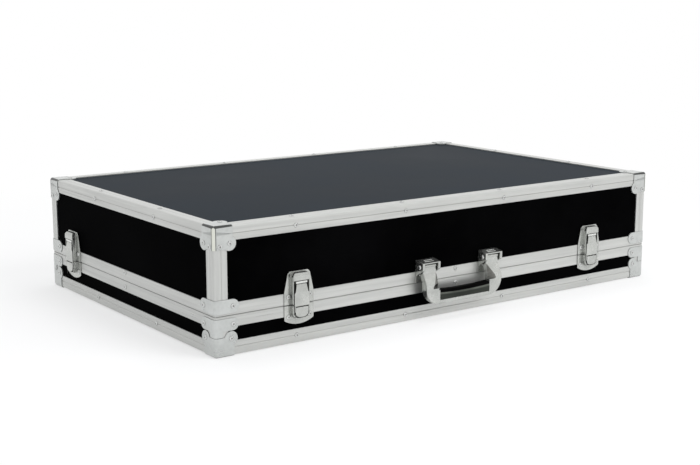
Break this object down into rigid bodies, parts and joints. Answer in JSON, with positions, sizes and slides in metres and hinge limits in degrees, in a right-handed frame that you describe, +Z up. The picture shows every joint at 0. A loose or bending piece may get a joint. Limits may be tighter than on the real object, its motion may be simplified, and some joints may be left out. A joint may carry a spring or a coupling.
{
  "type": "guitar pedal case",
  "caption": "Black laminate guitar pedal case with aluminium edging, steel corners, a deep lift-off lid held by draw latches, and a drop handle on the front.",
  "frame": {"origin": "on the ground, at the middle of the outline's bounding box, handle and latches included", "axes": "+X along the case's width, to the right as seen from the handle's side; +Y towards the rear; +Z up"},
  "size_m": [0.7646, 0.4972, 0.1623],
  "materials": {
    "black_laminate": "black laminate on plywood, satin",
    "top_laminate": "black laminate on plywood, glossy",
    "edging": "satin anodised extrusion",
    "corner_steel": "zinc-plated pressing",
    "rivet": "bright domed head",
    "bright_plate": "bright plated",
    "grip": "soft black moulding",
    "foam": "dark open-cell foam",
    "loop_mat": "dark loop pile"
  },
  "bodies": {
    "base": {"base_floor_panel": "black_laminate", "base_front_panel": "black_laminate", "base_rear_panel": "black_laminate", "base_left_panel": "black_laminate", "base_right_panel": "black_laminate", "base_edging_long": "edging", "base_edging_short": "edging", "base_corner_angles": "edging", "base_rim_long": "edging", "base_rim_short": "edging", "base_corner_caps": "corner_steel", "base_corner_braces": "corner_steel", "base_rivets": "rivet", "base_wall_foam": "foam", "floor_mat": "loop_mat", "latch_plate_front_left": "bright_plate", "lever_pin_front_left": "rivet", "latch_plate_front_right": "bright_plate", "lever_pin_front_right": "rivet", "latch_plate_end_left": "bright_plate", "lever_pin_end_left": "rivet", "latch_plate_end_right": "bright_plate", "lever_pin_end_right": "rivet"},
    "lid": {"lid_top_panel": "top_laminate", "lid_front_panel": "black_laminate", "lid_rear_panel": "black_laminate", "lid_left_panel": "black_laminate", "lid_right_panel": "black_laminate", "lid_edging_long": "edging", "lid_edging_short": "edging", "lid_corner_angles": "edging", "lid_rim_long": "edging", "lid_rim_short": "edging", "lid_corner_caps": "corner_steel", "lid_corner_braces": "corner_steel", "lid_rivets": "rivet", "lid_wall_foam": "foam", "lid_foam_pad": "foam", "handle_bracket_left": "bright_plate", "handle_bracket_right": "bright_plate", "handle_pins": "rivet", "catch_plate_front_left": "bright_plate", "catch_plate_front_right": "bright_plate", "catch_plate_end_left": "bright_plate", "catch_plate_end_right": "bright_plate"},
    "handle": {"handle_bow": "bright_plate", "handle_grip": "grip"},
    "lever_front_left": {"latch_lever_front_left": "bright_plate", "hook_pin_front_left": "rivet"},
    "hook_front_left": {"latch_hook_front_left": "bright_plate"},
    "lever_front_right": {"latch_lever_front_right": "bright_plate", "hook_pin_front_right": "rivet"},
    "hook_front_right": {"latch_hook_front_right": "bright_plate"},
    "lever_end_left": {"latch_lever_end_left": "bright_plate", "hook_pin_end_left": "rivet"},
    "hook_end_left": {"latch_hook_end_left": "bright_plate"},
    "lever_end_right": {"latch_lever_end_right": "bright_plate", "hook_pin_end_right": "rivet"},
    "hook_end_right": {"latch_hook_end_right": "bright_plate"}
  },
  "joints": [
    {"name": "lid_lift", "type": "slide", "parent": "base", "child": "lid", "axis": [0, 0, 1], "range_m": [0, 0.2]},
    {"name": "handle_swing", "type": "hinge", "parent": "lid", "child": "handle", "pos_m": [0, -0.2362, 0.0735], "axis": [-1, 0, 0], "range_deg": [0, 90]},
    {"name": "lever_turn_front_left", "type": "hinge", "parent": "base", "child": "lever_front_left", "pos_m": [-0.255, -0.2325, 0.0478], "axis": [-1, 0, 0], "range_deg": [0, 150]},
    {"name": "hook_turn_front_left", "type": "hinge", "parent": "lever_front_left", "child": "hook_front_left", "pos_m": [-0.255, -0.232, 0.0418], "axis": [1, 0, 0], "range_deg": [0, 168]},
    {"name": "lever_turn_front_right", "type": "hinge", "parent": "base", "child": "lever_front_right", "pos_m": [0.255, -0.2325, 0.0478], "axis": [-1, 0, 0], "range_deg": [0, 150]},
    {"name": "hook_turn_front_right", "type": "hinge", "parent": "lever_front_right", "child": "hook_front_right", "pos_m": [0.255, -0.232, 0.0418], "axis": [1, 0, 0], "range_deg": [0, 168]},
    {"name": "lever_turn_end_left", "type": "hinge", "parent": "base", "child": "lever_end_left", "pos_m": [-0.3788, 0.1713, 0.0478], "axis": [0, 1, 0], "range_deg": [0, 150]},
    {"name": "hook_turn_end_left", "type": "hinge", "parent": "lever_end_left", "child": "hook_end_left", "pos_m": [-0.3783, 0.1713, 0.0418], "axis": [0, -1, 0], "range_deg": [0, 168]},
    {"name": "lever_turn_end_right", "type": "hinge", "parent": "base", "child": "lever_end_right", "pos_m": [0.3788, 0.1713, 0.0478], "axis": [0, -1, 0], "range_deg": [0, 150]},
    {"name": "hook_turn_end_right", "type": "hinge", "parent": "lever_end_right", "child": "hook_end_right", "pos_m": [0.3783, 0.1713, 0.0418], "axis": [0, 1, 0], "range_deg": [0, 168]}
  ],
  "couplings": [
    {"joint": "hook_turn_front_left", "follows": "lever_turn_front_left", "ratio": 1.12},
    {"joint": "hook_turn_front_right", "follows": "lever_turn_front_right", "ratio": 1.12},
    {"joint": "hook_turn_end_left", "follows": "lever_turn_end_left", "ratio": 1.12},
    {"joint": "hook_turn_end_right", "follows": "lever_turn_end_right", "ratio": 1.12}
  ]
}
